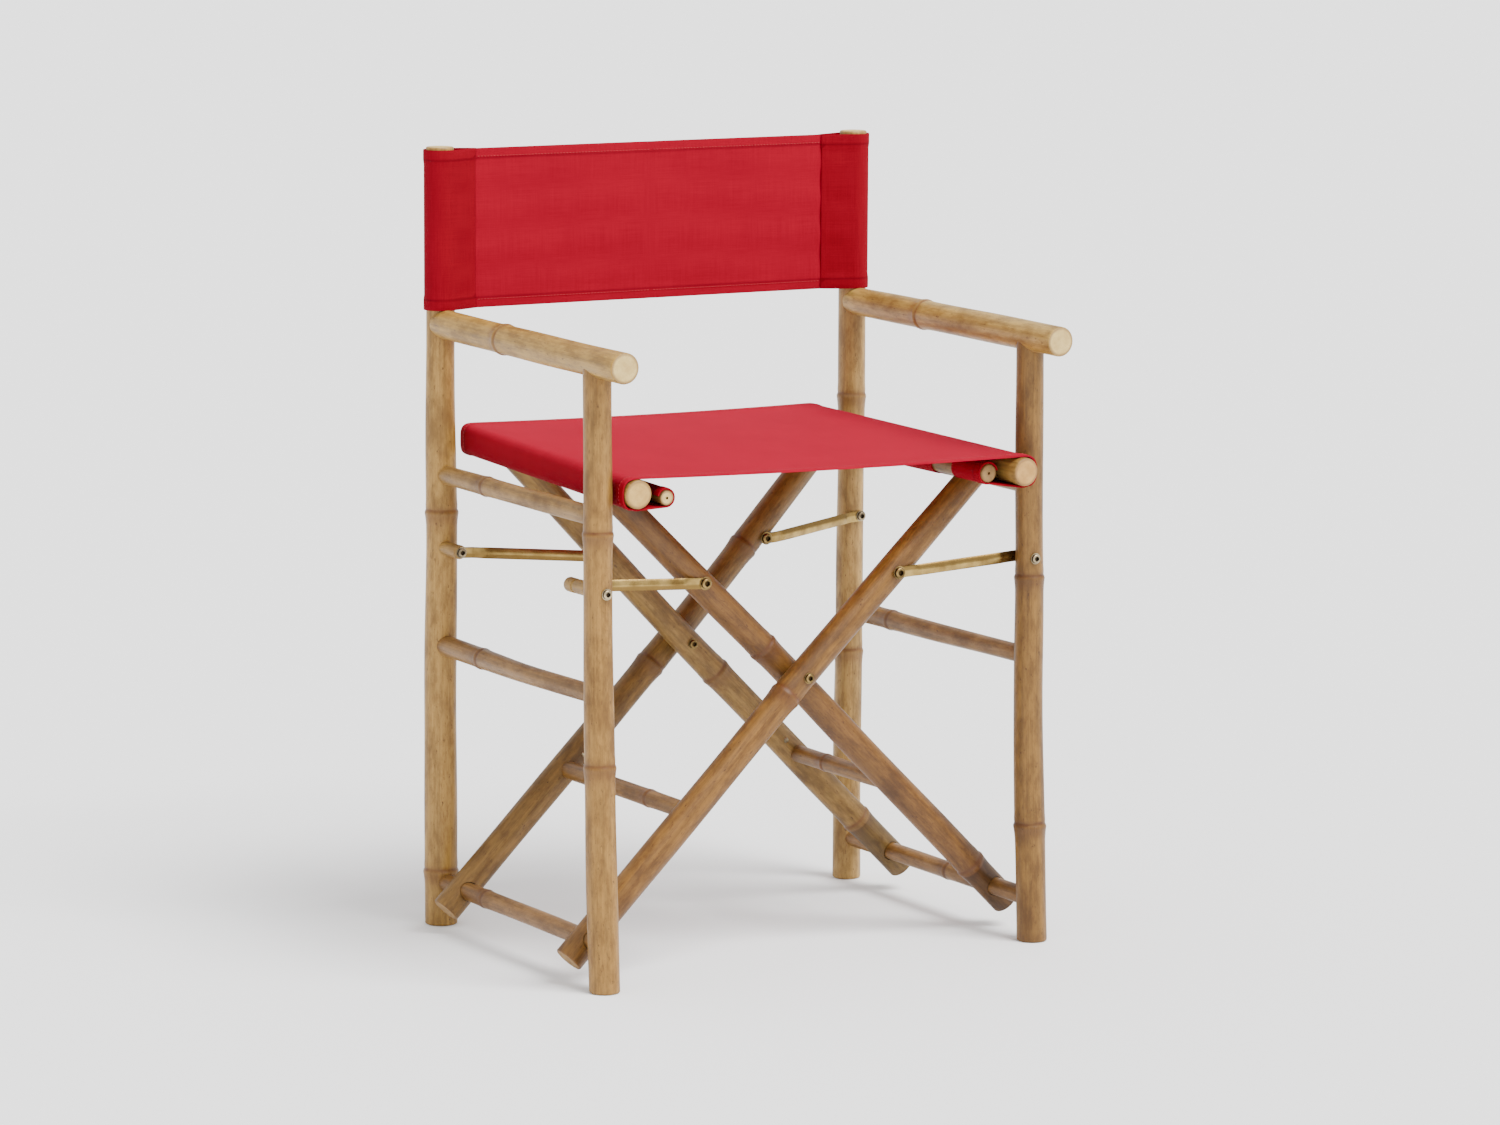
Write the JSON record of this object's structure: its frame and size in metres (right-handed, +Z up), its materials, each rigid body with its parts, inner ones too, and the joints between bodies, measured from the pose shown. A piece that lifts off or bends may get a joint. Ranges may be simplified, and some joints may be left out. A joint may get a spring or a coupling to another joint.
{
  "type": "director chair",
  "caption": "Folding director chair of bamboo poles with a canvas sling seat, canvas back band, crossed legs and brass side links.",
  "frame": {"origin": "on the floor, under the middle of the chair's width and depth", "axes": "+Z up. The sitter faces -Y. +X is on the right seen from the front. The centre bolts, foot rods and link pivots lie along Y."},
  "size_m": [0.6028, 0.4588, 0.88],
  "materials": {
    "bamboo": "satin varnished bamboo",
    "bamboo_leg": "satin varnished darker bamboo",
    "canvas": "red woven canvas",
    "brass": "polished brass",
    "steel": "warm plated steel screws"
  },
  "bodies": {
    "left_frame": {"left_rear_post": "bamboo", "left_front_post": "bamboo", "left_armrest": "bamboo", "left_upper_rail": "bamboo", "left_lower_rail": "bamboo", "left_foot_rod": "bamboo", "left_armrest_front_dowel": "bamboo", "left_armrest_rear_dowel": "bamboo", "left_front_link_spacer": "bamboo", "left_front_link_knob": "bamboo", "left_front_link_screw": "steel", "left_rear_link_peg": "bamboo", "left_rear_link_screw": "steel", "back_sleeve_left": "canvas", "back_panel": "canvas"},
    "right_frame": {"right_rear_post": "bamboo", "right_front_post": "bamboo", "right_armrest": "bamboo", "right_upper_rail": "bamboo", "right_lower_rail": "bamboo", "right_foot_rod": "bamboo", "right_armrest_front_dowel": "bamboo", "right_armrest_rear_dowel": "bamboo", "right_front_link_screw": "steel", "right_rear_link_screw": "steel", "back_sleeve_right": "canvas"},
    "outer_legs": {"outer_front_leg": "bamboo_leg", "outer_rear_leg": "bamboo_leg", "outer_stretcher": "bamboo_leg", "right_seat_pole": "bamboo", "right_canvas_dowel": "bamboo", "outer_front_pole_screw": "steel", "outer_rear_pole_screw": "steel", "outer_front_stretcher_pin": "steel", "outer_rear_stretcher_pin": "steel", "front_centre_bolt": "brass", "rear_centre_bolt": "brass", "front_centre_nut": "brass", "rear_centre_nut": "brass", "seat_sling": "canvas"},
    "inner_legs": {"inner_front_leg": "bamboo_leg", "inner_rear_leg": "bamboo_leg", "inner_stretcher": "bamboo_leg", "left_seat_pole": "bamboo", "left_canvas_dowel": "bamboo", "inner_front_pole_screw": "steel", "inner_rear_pole_screw": "steel", "inner_front_stretcher_pin": "steel", "inner_rear_stretcher_pin": "steel"},
    "left_front_link": {"left_front_link": "brass", "left_front_link_leg_bolt": "brass"},
    "left_rear_link": {"left_rear_link": "brass", "left_rear_link_leg_bolt": "brass"},
    "right_front_link": {"right_front_link": "brass", "right_front_link_leg_bolt": "brass"},
    "right_rear_link": {"right_rear_link": "brass", "right_rear_link_leg_bolt": "brass"}
  },
  "joints": [
    {"name": "fold", "type": "hinge", "parent": "left_frame", "child": "outer_legs", "pos_m": [-0.268, 0, 0.049], "axis": [0, -1, 0], "range_deg": [0, 32.8], "deforming": ["back_panel"]},
    {"name": "centre_hinge", "type": "hinge", "parent": "outer_legs", "child": "inner_legs", "pos_m": [0, 0, 0.3145], "axis": [0, 1, 0], "range_deg": [0, 73.5], "deforming": ["seat_sling"]},
    {"name": "right_foot_hinge", "type": "hinge", "parent": "inner_legs", "child": "right_frame", "pos_m": [0.268, 0, 0.049], "axis": [0, -1, 0], "range_deg": [0, 32.8]},
    {"name": "left_front_link_pivot", "type": "hinge", "parent": "left_frame", "child": "left_front_link", "pos_m": [-0.2705, 0, 0.432], "axis": [0, -1, 0], "range_deg": [0, 67]},
    {"name": "left_rear_link_pivot", "type": "hinge", "parent": "left_frame", "child": "left_rear_link", "pos_m": [-0.2705, 0, 0.432], "axis": [0, -1, 0], "range_deg": [0, 67]},
    {"name": "right_front_link_pivot", "type": "hinge", "parent": "right_frame", "child": "right_front_link", "pos_m": [0.2705, 0, 0.432], "axis": [0, 1, 0], "range_deg": [0, 67]},
    {"name": "right_rear_link_pivot", "type": "hinge", "parent": "right_frame", "child": "right_rear_link", "pos_m": [0.2705, 0, 0.432], "axis": [0, 1, 0], "range_deg": [0, 67]}
  ],
  "couplings": [
    {"joint": "centre_hinge", "follows": "fold", "ratio": 2.2406},
    {"joint": "right_foot_hinge", "follows": "fold", "ratio": 1},
    {"joint": "left_front_link_pivot", "follows": "fold", "ratio": 2.0426},
    {"joint": "left_rear_link_pivot", "follows": "fold", "ratio": 2.0426},
    {"joint": "right_front_link_pivot", "follows": "fold", "ratio": 2.0426},
    {"joint": "right_rear_link_pivot", "follows": "fold", "ratio": 2.0426}
  ]
}
